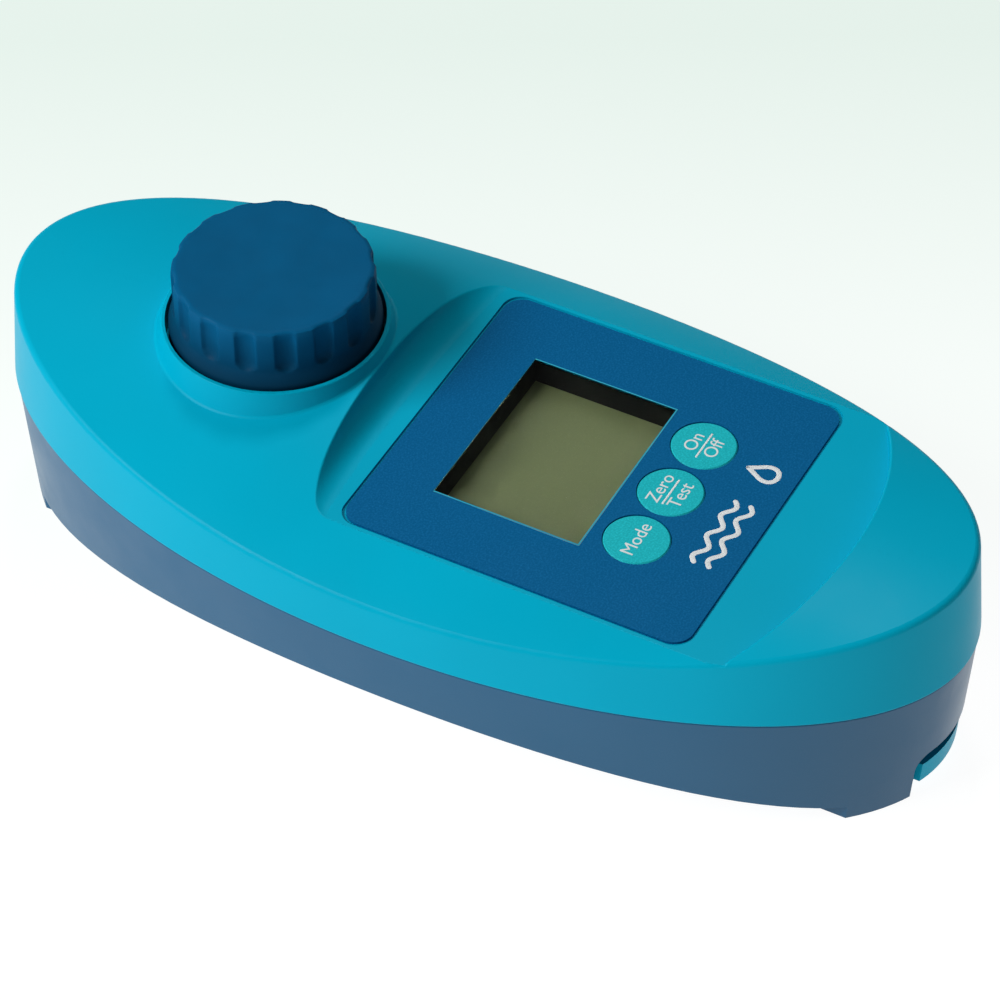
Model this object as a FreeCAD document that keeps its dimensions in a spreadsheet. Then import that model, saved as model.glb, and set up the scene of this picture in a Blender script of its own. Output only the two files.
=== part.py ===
import FreeCAD, Part

import os
import re

import Sketcher

# Digital water tester: a hand-held photometer for pool water.
#
# Millimetres. +X is the user's right, +Y runs along the tester from the keys to the sample
# chamber, +Z is up. The origin is on the surface the feet stand on, under the middle.

doc = FreeCAD.newDocument("WaterTester")

# ---------------------------------------------------------------- driving dimensions

SIZES = {
    # housing: two elliptical shells that meet at a level seam
    "body_length": 155, "body_width": 75, "seam_height": 22.6, "seam_step": 0.2,
    "crown_height": 38.4, "crown_radius": 86, "cover_draft": 1.35, "cover_draft_height": 18,
    "belly_radius": 62, "belly_height": 0.2, "belly_flat_height": 1.3, "base_draft": 1.8,
    "shell_wall": 2.2, "crease_round": 0.9, "seam_round": 0.3, "rim_round": 0.3, "collar_round": 0.5,
    # flat field in the crown that carries the foil, with a hollow-cornered wall round it
    "flat_height": 33.9, "field_front": 59.5, "field_back": 16.6, "field_half_width": 33,
    "field_front_radius": 49, "field_back_radius": 260, "field_round": 4.4,
    "field_corner": 8, "field_back_wall": 0.9,
    # front foil, its window and the three keys
    "foil_width": 52.8, "foil_length": 54.5, "foil_middle": 18.2, "foil_corner": 3,
    "foil_thickness": 0.4, "foil_gap": 0.45, "window_width": 31.4, "window_length": 23.4,
    "window_middle": 12, "window_ledge": 0.25, "window_gap": 0.05, "ledge_thickness": 0.45,
    "chimney_wall": 0.9,
    "key_radius": 4.85, "key_pitch": 10.7, "key_row": 30.3, "key_gap": 0.1,
    "key_flange": 0.45, "key_travel": 0.4,
    # display stack under the window
    "glass_width": 36, "glass_length": 27.6, "glass_thickness": 1.8, "glass_depth": 4.7,
    "frame_wall": 1.2,
    # printed board
    "board_width": 42, "board_front": 45, "board_back": 12, "board_thickness": 1.6,
    "board_height": 24.2, "board_screw_x": 18, "board_screw_front": 41, "board_screw_back": 8.6,
    # sample chamber, collar and cap, all on one upright axis
    "chamber_middle": 34.3, "well_radius": 12, "well_floor": 10, "chamber_wall": 1.3,
    "collar_radius": 16.25, "collar_foot_radius": 18.9, "collar_lip_radius": 16.8,
    "collar_edge": 0.25, "collar_top": 40.4, "collar_floor": 36.2,
    "cap_top": 50, "cap_radius": 14.9, "cap_flare_radius": 15.75, "cap_skirt": 3.2,
    "cap_wall": 1.7, "cap_fit": 0.06, "flute_count": 16, "flute_radius": 1.9,
    "flute_depth": 0.75, "flute_end": 42.9, "plug_radius": 11.6, "plug_bottom": 30,
    "ring_section": 1.3, "ring_fit": 0.03,
    # battery bay, its cover and the two cells
    "cell_radius": 5.25, "cell_length": 44.5, "cell_pitch": 11.2, "bay_half_width": 11.7,
    "bay_front": 62.2, "bay_back": 12.6, "bay_roof": 17, "bay_wall": 1.6,
    "door_half_width": 15, "door_front": 64, "door_back": 3, "door_thickness": 2.2,
    "door_bottom": 1.9, "door_gap": 0.3, "lip_half_width": 6.8, "lip_top": 5.6,
    "notch_half_width": 8.5, "notch_top": 8.1, "door_screw_x": 9, "door_screw_y": 7.6,
    "seal_width": 1.2, "seal_height": 1,
    # feet and housing screws
    "foot_inner": 8.5, "foot_outer": 16.5, "foot_front": 62.5,
    "screw_x": 20, "screw_y": 50, "boss_radius": 3.6, "screw_radius": 1.4,
    "screw_head_radius": 2.6,
}

sheet = doc.addObject("Spreadsheet::Sheet", "Sizes")
for row, (word, value) in enumerate(SIZES.items(), start=1):
    sheet.set(f"A{row}", word)
    sheet.set(f"B{row}", str(value))
    sheet.setAlias(f"B{row}", word)
doc.recompute()

WORDS = re.compile(r"[a-z]+(?:_[a-z]+)+")
PIECES = []


def scoped(rule):
    """A rule is a number or a sum in the sheet's words: this names the sheet in front of each word."""
    return WORDS.sub(lambda found: "Sizes." + found.group(0), str(rule))


def number(rule):
    """What a rule comes to with the sheet as it stands."""
    return float(sheet.evalExpression(scoped(rule)))


def bind(thing, path, rule):
    """Ties one property of a document object to the sheet."""
    thing.setExpression(path, scoped(rule))


def piece(thing, label):
    """Marks a finished sub-part: its label names its file."""
    thing.Label = label
    PIECES.append(thing)
    return thing


# ---------------------------------------------------------------- solids and booleans

UPRIGHT = (0, 0, 1, 0)
QUARTER_TURN = (0, 0, 1, 90)
ALONG_Y = (1, 0, 0, -90)
ALONG_MINUS_Y = (1, 0, 0, 90)
ALONG_X = (0, 1, 0, 90)
ALONG_MINUS_X = (0, 1, 0, -90)


def place(thing, at, turn=UPRIGHT):
    """Turns a thing about an axis by degrees and ties its position to three rules."""
    rotation = FreeCAD.Rotation(FreeCAD.Vector(*turn[:3]), turn[3])
    thing.Placement = FreeCAD.Placement(FreeCAD.Vector(), rotation)
    for axis, rule in zip("xyz", at):
        bind(thing, f"Placement.Base.{axis}", rule)
    return thing


def block(name, x, y, z):
    """A box that runs from the first to the second rule along each axis."""
    made = doc.addObject("Part::Box", name)
    for side, axis, (low, high) in (("Length", "x", x), ("Width", "y", y), ("Height", "z", z)):
        bind(made, side, f"({high}) - ({low})")
        bind(made, f"Placement.Base.{axis}", low)
    return made


def rod(name, radius, at, height, turn=UPRIGHT):
    made = doc.addObject("Part::Cylinder", name)
    bind(made, "Radius", radius)
    bind(made, "Height", height)
    return place(made, at, turn)


def oval(name, low, low_inset, high, high_inset):
    """An elliptical drum on the housing's plan, drawn in from it by an inset at each end."""
    rims = []
    for end, level, inset in (("Low", low, low_inset), ("High", high, high_inset)):
        rim = doc.addObject("Part::Ellipse", name + end)
        bind(rim, "MajorRadius", f"body_length / 2 - ({inset})")
        bind(rim, "MinorRadius", f"body_width / 2 - ({inset})")
        rims.append(place(rim, (0, 0, level), QUARTER_TURN))
    made = doc.addObject("Part::Loft", name)
    made.Sections = rims
    made.Solid = True
    made.Ruled = True
    return made


def fuse(name, *parts):
    made = doc.addObject("Part::MultiFuse", name)
    made.Shapes = list(parts)
    made.Refine = True
    return made


def common(name, *parts):
    made = doc.addObject("Part::MultiCommon", name)
    made.Shapes = list(parts)
    return made


def cut(name, base, *tools):
    made = doc.addObject("Part::Cut", name)
    made.Base = base
    made.Tool = tools[0] if len(tools) == 1 else fuse(name + "Tools", *tools)
    return made


def group(name, *parts):
    """Several separate solids that are one sub-part, such as a set of screws."""
    made = doc.addObject("Part::Compound", name)
    made.Links = list(parts)
    return made


def rounded(name, base, radius, chosen):
    """Rounds the edges whose bounding box passes a test."""
    doc.recompute()
    edges = [i for i, edge in enumerate(base.Shape.Edges, start=1) if chosen(edge.BoundBox)]
    if not edges:
        raise RuntimeError("no edge to round on " + name)
    made = doc.addObject("Part::Fillet", name)
    made.Base = base
    made.Edges = [(i, number(radius), number(radius)) for i in edges]
    return made


def is_upright(box):
    return box.ZLength > 0.1 and box.XLength < 0.01 and box.YLength < 0.01


def slab(name, x, y, z, corner):
    """A block with rounded upright corners."""
    return rounded(name, block(name + "Block", x, y, z), corner, is_upright)


# ---------------------------------------------------------------- sketched bodies

def new_body(name, at=(0, 0, 0), turn=UPRIGHT):
    return place(doc.addObject("PartDesign::Body", name), at, turn)


def new_sketch(body, plane):
    """A sketch on one of the body's own origin planes."""
    sketch = body.newObject("Sketcher::SketchObject", body.Name + "Sketch")
    origin_plane = next(f for f in body.Origin.OriginFeatures if f.Role == plane)
    sketch.AttachmentSupport = (origin_plane, [""])
    sketch.MapMode = "FlatFace"
    return sketch


def pin_point(sketch, item, end, x, y):
    """Ties one point of a sketch to two rules measured from the sketch's origin."""
    for kind, axis, rule in (("DistanceX", -2, x), ("DistanceY", -1, y)):
        if abs(number(rule)) < 1e-9:
            sketch.addConstraint(Sketcher.Constraint("PointOnObject", item, end, axis))
            continue
        index = sketch.addConstraint(Sketcher.Constraint(kind, -1, 1, item, end, number(rule)))
        sketch.setExpression(f"Constraints[{index}]", scoped(rule))


def outline(sketch, corners):
    """A closed outline of straight sides, each corner tied to the sheet."""
    spots = [FreeCAD.Vector(number(x), number(y), 0) for x, y in corners]
    first, count = sketch.GeometryCount, len(spots)
    for i, spot in enumerate(spots):
        sketch.addGeometry(Part.LineSegment(spot, spots[(i + 1) % count]), False)
    for i in range(count):
        following = first + (i + 1) % count
        sketch.addConstraint(Sketcher.Constraint("Coincident", first + i, 2, following, 1))
    for i, (x, y) in enumerate(corners):
        pin_point(sketch, first + i, 1, x, y)


def circle(sketch, x, y, radius):
    centre = FreeCAD.Vector(number(x), number(y), 0)
    item = sketch.addGeometry(Part.Circle(centre, FreeCAD.Vector(0, 0, 1), number(radius)), False)
    index = sketch.addConstraint(Sketcher.Constraint("Radius", item, number(radius)))
    sketch.setExpression(f"Constraints[{index}]", scoped(radius))
    pin_point(sketch, item, 3, x, y)


def turned(name, profile, at=(0, 0, 0), turn=UPRIGHT):
    """A body turned about its own Z axis from an outline of radius and height."""
    body = new_body(name, at, turn)
    sketch = new_sketch(body, "XZ_Plane")
    outline(sketch, profile)
    made = body.newObject("PartDesign::Revolution", name + "Turn")
    made.Profile = sketch
    made.ReferenceAxis = (sketch, ["V_Axis"])
    made.Angle = 360
    return body


def pad(body, sketch, thickness):
    made = body.newObject("PartDesign::Pad", body.Name + "Pad")
    made.Profile = sketch
    bind(made, "Length", thickness)
    return made


# ---------------------------------------------------------------- housing

def housing_screw_places():
    return [(f"{sx} * screw_x", f"{sy} * screw_y") for sx in (-1, 1) for sy in (-1, 1)]


def board_screw_places():
    rows = ("-1 * board_screw_front", "board_screw_back")
    return [(f"{side} * board_screw_x", row) for side in (-1, 1) for row in rows]


def key_places():
    return [(f"{step} * key_pitch", "-1 * key_row") for step in (-1, 0, 1)]


def crown(name, inset):
    """The barrel, lying along Y, whose top is the cover's crown."""
    level = "crown_height - crown_radius"
    start = "-1 * body_length"
    return rod(name, f"crown_radius - ({inset})", (0, start, level), "2 * body_length", ALONG_Y)


def belly(name, inset):
    """The barrel, lying along Y, whose underside is the base's belly."""
    level = "belly_height + belly_radius"
    start = "-1 * body_length"
    return rod(name, f"belly_radius - ({inset})", (0, start, level), "2 * body_length", ALONG_Y)


def field_tool():
    """The space above the flat field: steep in front, with a hollow foot to the wall behind."""
    sides = block("FieldSides", ("-1 * field_half_width", "field_half_width"),
                  ("-1 * field_front - 1", "field_back + 1"), ("flat_height", "crown_height + 9"))
    front = rod("FieldFront", "field_front_radius",
                (0, "field_front_radius - field_front", "flat_height"), "crown_height")
    back = rod("FieldBack", "field_back_radius",
               (0, "field_back - field_back_radius", "flat_height"), "crown_height")
    bowed = common("FieldBowed", sides, front, back)
    foot = number("flat_height")
    cornered = rounded("FieldCornered", bowed, "field_corner",
                       lambda box: is_upright(box) and box.YMin > 0)
    return rounded("FieldTool", cornered, "field_round",
                   lambda box: box.ZMax < foot + 0.01 and box.YMax > 1)


def build_top_cover():
    drum = oval("CoverDrum", "seam_height", 0, "seam_height + cover_draft_height", "cover_draft")
    seam = number("seam_height")
    edged = rounded("CoverEdged", drum, "seam_round", lambda box: box.ZMax < seam + 0.01)
    barrel = common("CoverBarrel", edged, crown("CoverCrown", 0))
    crowned = rounded("CoverCrowned", barrel, "crease_round",
                      lambda box: box.ZMin > seam + 1 and box.YLength > 40)
    fielded = cut("CoverFielded", crowned, field_tool())
    flat, front = number("flat_height"), number("field_front")
    softened = rounded("CoverSoftened", fielded, "rim_round",
                       lambda box: (box.ZMin > flat + 0.3 and box.ZLength > 0.05
                                    and box.XLength > 1 and box.YMin > -front - 0.1))
    collar_foot = "collar_floor - shell_wall + 0.2"
    cone = doc.addObject("Part::Cone", "CollarCone")
    bind(cone, "Radius1", "collar_foot_radius")
    bind(cone, "Radius2", "collar_lip_radius")
    bind(cone, "Height", f"collar_top - ({collar_foot})")
    place(cone, (0, "chamber_middle", collar_foot))
    top = number("collar_top")
    collar = rounded("Collar", cone, "collar_edge", lambda box: box.ZMin > top - 0.01)
    joined = fuse("CoverJoined", softened, collar)
    whole = rounded("CoverWhole", joined, "collar_round",
                    lambda box: (box.YMin > 15 and box.YMax < 53 and box.ZMin > flat + 2.2
                                 and box.ZMax < top - 1 and box.ZLength > 0.3 and box.XLength > 10))

    hollow_drum = oval("HollowDrum", "seam_height - 0.1", "shell_wall",
                       "seam_height + cover_draft_height", "shell_wall + cover_draft")
    hollow = common("CoverHollowAll", hollow_drum, crown("HollowCrown", "shell_wall"))
    kept = [
        block("UnderField", ("-1 * body_width", "body_width"),
              ("-1 * field_front - shell_wall", "field_back + field_back_wall"),
              ("flat_height - shell_wall", "body_length")),
        rod("UnderCollar", "collar_foot_radius", (0, "chamber_middle", collar_foot), "body_width"),
    ]
    for i, (x, y) in enumerate(housing_screw_places()):
        kept.append(rod(f"CoverBoss{i}", "boss_radius", (x, y, "seam_height - 1"), "body_width"))
    for i, (x, y) in enumerate(board_screw_places()):
        level = "board_height + board_thickness"
        kept.append(rod(f"BoardPost{i}", 2.6, (x, y, level), "body_width"))
    hollow = cut("CoverHollow", hollow, *kept)

    ledge = "flat_height - foil_thickness - ledge_thickness"
    removed = [
        hollow,
        rod("CapRecess", "collar_radius", (0, "chamber_middle", "collar_floor"), "body_width"),
        rod("NeckHole", "well_radius + chamber_wall + 0.05", (0, "chamber_middle", 30), 12),
        slab("FoilRecess", ("-1 * foil_width / 2 - foil_gap", "foil_width / 2 + foil_gap"),
             ("-1 * foil_middle - foil_length / 2 - foil_gap",
              "foil_length / 2 + foil_gap - foil_middle"),
             ("flat_height - foil_thickness", "flat_height + 5"), "foil_corner"),
        block("WindowHole", ("window_ledge - window_width / 2", "window_width / 2 - window_ledge"),
              ("window_ledge - window_middle - window_length / 2",
               "window_length / 2 - window_middle"), ("flat_height - 4", "flat_height")),
        window_block("ChimneyHole", "chimney_wall + window_gap", ("flat_height - 4", ledge)),
    ]
    for i, (x, y) in enumerate(key_places()):
        removed.append(rod(f"KeyHole{i}", "key_radius + key_gap", (x, y, "flat_height - 5"), 6))
    for i, (x, y) in enumerate(housing_screw_places()):
        removed.append(rod(f"BossPilot{i}", "screw_radius", (x, y, "seam_height - 2"), 10.5))
    for i, (x, y) in enumerate(board_screw_places()):
        removed.append(rod(f"PostPilot{i}", 0.9, (x, y, "board_height"), 7))
    piece(cut("TopCover", whole, *removed), "top_cover")


def window_block(name, margin, z):
    """A block over the display window, wider than it by a margin on each side."""
    return block(name, (f"-1 * window_width / 2 - ({margin})", f"window_width / 2 + ({margin})"),
                 (f"-1 * window_middle - window_length / 2 - ({margin})",
                  f"window_length / 2 + ({margin}) - window_middle"), z)


def feet():
    """Four low feet, each a stretch of the side wall carried down to the ground."""
    made = []
    for side in (-1, 1):
        for end in (-1, 1):
            x = ("foot_inner", "foot_outer") if side > 0 else ("-1 * foot_outer", "-1 * foot_inner")
            y = ("foot_front", "body_length / 2") if end > 0 else (
                "-1 * body_length / 2", "-1 * foot_front")
            made.append(block(f"Foot{side + 1}{end + 1}", x, y, (0, 6)))
    return made


def build_base_shell():
    drum = oval("BaseDrum", 0, "base_draft", "seam_height", "seam_step")
    seam = number("seam_height")
    edged = rounded("BaseEdged", drum, "seam_round", lambda box: box.ZMin > seam - 0.01)
    barrel = common("BaseBarrel", edged, belly("BaseBelly", 0))
    everywhere = ("-1 * body_length", "body_length")
    level_cut = block("BellyFlat", everywhere, everywhere, (-10, "belly_flat_height"))
    flattened = cut("BaseFlattened", barrel, level_cut)
    footed = common("FeetInWall", oval("FootDrum", 0, "base_draft", "seam_height", "seam_step"),
                    fuse("FeetBlocks", *feet()))
    whole = fuse("BaseWhole", flattened, footed)

    hollow_drum = oval("BaseHollowDrum", 0, "base_draft + shell_wall",
                       "seam_height + 0.1", "seam_step + shell_wall")
    hollow = common("BaseHollowAll", hollow_drum, belly("HollowBelly", "shell_wall + 0.2"))
    floor_block = block("InnerFloor", everywhere, everywhere, (-10, "belly_flat_height + 2.4"))
    bay_z = "bay_roof + bay_wall"
    kept = [
        floor_block,
        block("BayBlock", ("-1 * bay_half_width - bay_wall", "bay_half_width + bay_wall"),
              ("-1 * bay_front - bay_wall", "bay_wall - bay_back"), (0, bay_z)),
        block("DoorFrame", ("-1 * door_half_width - 2.2", "door_half_width + 2.2"),
              ("-1 * door_front - 2.2", "2 - door_back"), (0, 6.8)),
        block("EndBlock", ("-1 * notch_half_width - 3", "notch_half_width + 3"),
              ("-1 * body_length", "-1 * bay_front"), (0, "notch_top + 2.2")),
    ]
    for i, (x, y) in enumerate(housing_screw_places()):
        kept.append(rod(f"BaseBoss{i}", "boss_radius", (x, y, 0), "body_width"))
    for i, side in enumerate((-1, 1)):
        kept.append(rod(f"DoorPillar{i}", 3.4,
                        (f"{side} * door_screw_x", "-1 * door_screw_y", 0), 12))
    hollow = cut("BaseHollow", hollow, *kept)

    door_top = "door_bottom + door_thickness"
    notch = block("NotchBlock", ("-1 * notch_half_width", "notch_half_width"),
                  ("-1 * body_length", "-1 * door_front - door_gap"), (-5, "notch_top"))
    ceiling = number("notch_top")
    groove = "seam_step + 0.6"
    removed = [
        hollow,
        block("BayHollow", ("-1 * bay_half_width", "bay_half_width"),
              ("-1 * bay_front", "-1 * bay_back"), (-5, "bay_roof")),
        block("DoorRecess", ("-1 * door_half_width - door_gap", "door_half_width + door_gap"),
              ("-1 * door_front - door_gap", "door_gap - door_back"), (-5, door_top)),
        rounded("Notch", notch, 2.5,
                lambda box: box.ZMin > ceiling - 0.01 and box.YLength > 10),
        seal_ring("SealGroove", 0.05, (door_top, f"{door_top} + seal_height")),
        cut("HousingGroove",
            oval("GrooveOuter", "seam_height - 1", groove, "seam_height + 1", groove),
            oval("GrooveInner", "seam_height - 2", f"{groove} + 1",
                 "seam_height + 2", f"{groove} + 1")),
        slab("PlateRecess", (-9.6, 9.6), (5.9, 39.1), (-5, "belly_flat_height + 0.3"), 1.6),
    ]
    for i, (x, y) in enumerate(housing_screw_places()):
        removed.append(rod(f"ScrewPath{i}", "screw_radius + 0.05", (x, y, -5), "body_width"))
        removed.append(rod(f"ScrewSink{i}", "screw_head_radius + 0.2", (x, y, -5), 14))
    for i, side in enumerate((-1, 1)):
        removed.append(rod(f"DoorScrewHole{i}", "screw_radius + 0.05",
                           (f"{side} * door_screw_x", "-1 * door_screw_y", -5), 15.5))
    piece(cut("BaseShell", whole, *removed), "base_shell")


def seal_ring(name, spare, z):
    """The oblong ring round the battery bay's mouth, grown by a spare on both flanks."""
    far = f"0.6 + seal_width + ({spare})"
    near = f"0.6 - ({spare})"
    outer = slab(name + "Outer", (f"-1 * bay_half_width - ({far})", f"bay_half_width + {far}"),
                 (f"-1 * bay_front - ({far})", f"{far} - bay_back"), z, 3)
    inner = slab(name + "Inner", (f"-1 * bay_half_width - ({near})", f"bay_half_width + {near}"),
                 (f"-1 * bay_front - ({near})", f"{near} - bay_back"),
                 (f"{z[0]} - 1", f"{z[1]} + 1"), 2)
    return cut(name, outer, inner)


def screw(name, at, head_radius, head_height, shank_radius, length):
    """A pan-head screw driven upwards, with a cross recess in its head."""
    x, y, z = at
    head = rod(name + "Head", head_radius, at, head_height)
    shank = rod(name + "Shank", shank_radius, (x, y, f"{z} + {head_height}"), length)
    half, wide = f"({head_radius}) * 0.55", 0.3
    bars = [block(name + "BarX", (f"{x} - {half}", f"{x} + {half}"),
                  (f"{y} - {wide}", f"{y} + {wide}"), (f"{z} - 1", f"{z} + {head_height} / 2")),
            block(name + "BarY", (f"{x} - {wide}", f"{x} + {wide}"),
                  (f"{y} - {half}", f"{y} + {half}"), (f"{z} - 1", f"{z} + {head_height} / 2"))]
    return cut(name, fuse(name + "Solid", head, shank), *bars)


def build_housing_hardware():
    flank = "seam_step + 0.65"
    seal = cut("HousingSeal",
               oval("SealOuter", "seam_height - 0.95", flank, "seam_height", flank),
               oval("SealInner", "seam_height - 2", f"{flank} + 0.9",
                    "seam_height + 1", f"{flank} + 0.9"))
    piece(seal, "housing_seal")
    screws = [screw(f"HousingScrew{i}", (x, y, 7.4), "screw_head_radius", 1.6, "screw_radius", 21)
              for i, (x, y) in enumerate(housing_screw_places())]
    piece(group("HousingScrews", *screws), "housing_screws")
    piece(slab("RatingPlate", (-9.5, 9.5), (6, 39),
               ("belly_flat_height", "belly_flat_height + 0.3"), 1.5), "rating_plate")


# ---------------------------------------------------------------- battery bay

def build_battery_door():
    top = "door_bottom + door_thickness"
    plate = slab("DoorPlate", ("-1 * door_half_width", "door_half_width"),
                 ("-1 * door_front", "-1 * door_back"), ("door_bottom", top), 1.5)
    tongue = block("DoorTongue", ("-1 * lip_half_width", "lip_half_width"),
                   ("-1 * body_length / 2", "2 - door_front"), ("door_bottom", top))
    lip = block("DoorLip", ("-1 * lip_half_width", "lip_half_width"),
                ("-1 * body_length / 2", "6 - body_length / 2"), ("door_bottom", "lip_top"))
    flush = oval("DoorFlush", 0, "base_draft + 0.3", "seam_height", "seam_step + 0.3")
    door = common("DoorTrimmed", fuse("DoorSolid", plate, tongue, lip), flush)
    holes = []
    for i, side in enumerate((-1, 1)):
        x, y = f"{side} * door_screw_x", "-1 * door_screw_y"
        holes.append(rod(f"DoorHole{i}", "screw_radius + 0.1", (x, y, 0), 8))
        holes.append(rod(f"DoorSink{i}", "screw_head_radius + 0.2", (x, y, 0), "door_bottom + 1.2"))
    piece(cut("BatteryCover", door, *holes), "battery_cover")
    screws = [screw(f"DoorScrew{i}", (f"{side} * door_screw_x", "-1 * door_screw_y", "door_bottom"),
                    "screw_head_radius", 1.2, "screw_radius", 6.5) for i, side in enumerate((-1, 1))]
    piece(group("DoorScrews", *screws), "battery_cover_screws")
    piece(seal_ring("BatterySeal", -0.1, (top, f"{top} + seal_height - 0.05")), "battery_seal")


def build_cells():
    front = "-1 * bay_front + 1.9"
    length = "cell_length"
    profile = [(0, 0), ("cell_radius - 0.4", 0), ("cell_radius", 0.4),
               ("cell_radius", f"{length} - 1.4"), ("cell_radius - 0.5", f"{length} - 0.9"),
               (1.9, f"{length} - 0.9"), (1.9, length), (0, length)]
    level = "bay_roof - cell_radius - 1.1"
    piece(turned("LeftCell", profile, ("-1 * cell_pitch / 2", front, level), ALONG_Y), "left_cell")
    piece(turned("RightCell", profile, ("cell_pitch / 2", f"{front} + {length}", level),
                 ALONG_MINUS_Y), "right_cell")
    springs, plates = [], []
    back = "-1 * bay_back"
    for i, side in enumerate((-1, 1)):
        x = f"{side} * cell_pitch / 2"
        cone = doc.addObject("Part::Cone", f"SpringCone{i}")
        for field, rule in (("Radius1", 3.6), ("Radius2", 2.4), ("Height", 1.4)):
            bind(cone, field, rule)
        if side < 0:
            place(cone, (x, "-1 * bay_front + 0.45", level), ALONG_Y)
        else:
            place(cone, (x, f"{back} - 0.45", level), ALONG_MINUS_Y)
        springs.append(cone)
        plates.append(block(f"FrontPlate{i}", (f"{x} - 4.2", f"{x} + 4.2"),
                            ("-1 * bay_front", "-1 * bay_front + 0.4"),
                            (f"{level} - 4", f"{level} + 4")))
    plates.append(block("BackPlate", ("-1 * cell_pitch / 2 - 4.2", "cell_pitch / 2 + 4.2"),
                        (f"{back} - 0.4", back), (f"{level} - 4", f"{level} + 4")))
    piece(group("CellSprings", *springs), "cell_springs")
    piece(group("ContactPlates", *plates), "contact_plates")


# ---------------------------------------------------------------- foil, window and keys

def build_front_panel():
    z = ("flat_height - foil_thickness", "flat_height")
    sheet_block = slab("FoilSheet", ("-1 * foil_width / 2", "foil_width / 2"),
                       ("-1 * foil_middle - foil_length / 2", "foil_length / 2 - foil_middle"), z,
                       "foil_corner")
    holes = [window_block("FoilWindow", 0, ("flat_height - 1", "flat_height + 1"))]
    for i, (x, y) in enumerate(key_places()):
        holes.append(rod(f"FoilKeyHole{i}", "key_radius + key_gap", (x, y, "flat_height - 1"), 2))
    piece(cut("FrontFoil", sheet_block, *holes), "front_foil")
    piece(window_block("DisplayWindow", "-1 * window_gap", z), "display_window")
    under = "flat_height - shell_wall"
    profile = [(0, f"{under} - 3.2"), (1.5, f"{under} - 3.2"), (1.5, f"{under} - 0.7"),
               ("key_radius + key_flange", f"{under} - 0.7"), ("key_radius + key_flange", under),
               ("key_radius", under), ("key_radius", "flat_height - 0.2"),
               ("key_radius - 0.2", "flat_height"), (0, "flat_height")]
    labels = ("mode_key", "zero_test_key", "power_key")
    for label, name, (x, y) in zip(labels, ("ModeKey", "ZeroTestKey", "PowerKey"), key_places()):
        piece(turned(name, profile, (x, y, 0)), label)


# ---------------------------------------------------------------- display and board

def build_display():
    half = "glass_width / 2"
    front = "-1 * window_middle - glass_length / 2"
    back = "glass_length / 2 - window_middle"
    glass_top = "flat_height - glass_depth"
    piece(block("DisplayGlass", (f"-1 * {half}", half), (front, back),
                (f"{glass_top} - glass_thickness", glass_top)), "display_glass")
    floor = "board_height + board_thickness"
    shoulder = "flat_height - shell_wall - 1.8"
    lower = block("FrameLower", (f"-1 * {half} - frame_wall - 0.2", f"{half} + frame_wall + 0.2"),
                  (f"{front} - frame_wall - 0.2", f"{back} + frame_wall + 0.2"), (floor, shoulder))
    rim = "flat_height - foil_thickness - ledge_thickness"
    chimney = window_block("FrameChimney", "chimney_wall", (floor, rim))
    hollow = block("FrameHollow", (f"-1 * {half} - 0.2", f"{half} + 0.2"),
                   (f"{front} - 0.2", f"{back} + 0.2"), (f"{floor} - 1", glass_top))
    sight = window_block("FrameSight", 0, (floor, "flat_height"))
    piece(cut("DisplayFrame", fuse("FrameSolid", lower, chimney), hollow, sight), "display_frame")
    strips = []
    rows = ((f"{front} + 0.6", f"{front} + 2.6"), (f"{back} - 2.6", f"{back} - 0.6"))
    for i, (low, high) in enumerate(rows):
        strips.append(block(f"Strip{i}", (f"2 - {half}", f"{half} - 2"), (low, high),
                            (floor, f"{glass_top} - glass_thickness")))
    piece(group("ConductiveStrips", *strips), "conductive_strips")


def build_board():
    body = new_body("MainBoard", (0, 0, "board_height"))
    sketch = new_sketch(body, "XY_Plane")
    half = "board_width / 2"
    outline(sketch, [(f"-1 * {half}", "-1 * board_front"), (half, "-1 * board_front"),
                     (half, "board_back"), (f"-1 * {half}", "board_back")])
    for x, y in board_screw_places():
        circle(sketch, x, y, 1.05)
    pad(body, sketch, "board_thickness")
    piece(body, "main_board")

    screws = [screw(f"BoardScrew{i}", (x, y, "board_height - 1.3"), 1.9, 1.3, 0.9, 5.6)
              for i, (x, y) in enumerate(board_screw_places())]
    piece(group("BoardScrews", *screws), "board_screws")

    top = "board_height + board_thickness"
    switches = []
    for i, (x, y) in enumerate(key_places()):
        case = block(f"SwitchCase{i}", (f"{x} - 2.5", f"{x} + 2.5"), (f"{y} - 2.5", f"{y} + 2.5"),
                     (top, f"{top} + 1.6"))
        switches.append(fuse(f"Switch{i}", case, rod(f"Plunger{i}", 1.2, (x, y, top), 2.2)))
    piece(group("KeySwitches", *switches), "key_switches")

    under = "board_height"
    piece(slab("ControllerChip", (-6, 6), (-18, -6), (f"{under} - 1.4", under), 0.6), "controller_chip")
    smalls = [block("Crystal", (9, 13.5), (-14, -3), (f"{under} - 3.4", under)),
              block("Regulator", (-14, -9.5), (-2, 4.5), (f"{under} - 1.6", under)),
              rod("Capacitor", 2.5, (-13, -22, f"{under} - 4.6"), 4.6),
              block("Buzzer", (10, 17), (-29, -22), (f"{under} - 2.4", under))]
    for i in range(6):
        smalls.append(block(f"Resistor{i}", (-5 + 2 * i, -3.8 + 2 * i), (0, 2.4),
                            (f"{under} - 0.6", under)))
    piece(group("BoardComponents", *smalls), "board_components")
    housing = block("PlugHousing", (-4, 4), (5, 10.6), (f"{under} - 5", under))
    mouth = block("PlugMouth", (-3.2, 3.2), (6, 9.6), (f"{under} - 6", f"{under} - 1.2"))
    piece(cut("BatteryPlug", housing, mouth), "battery_connector")


# ---------------------------------------------------------------- sample chamber and optics

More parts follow.
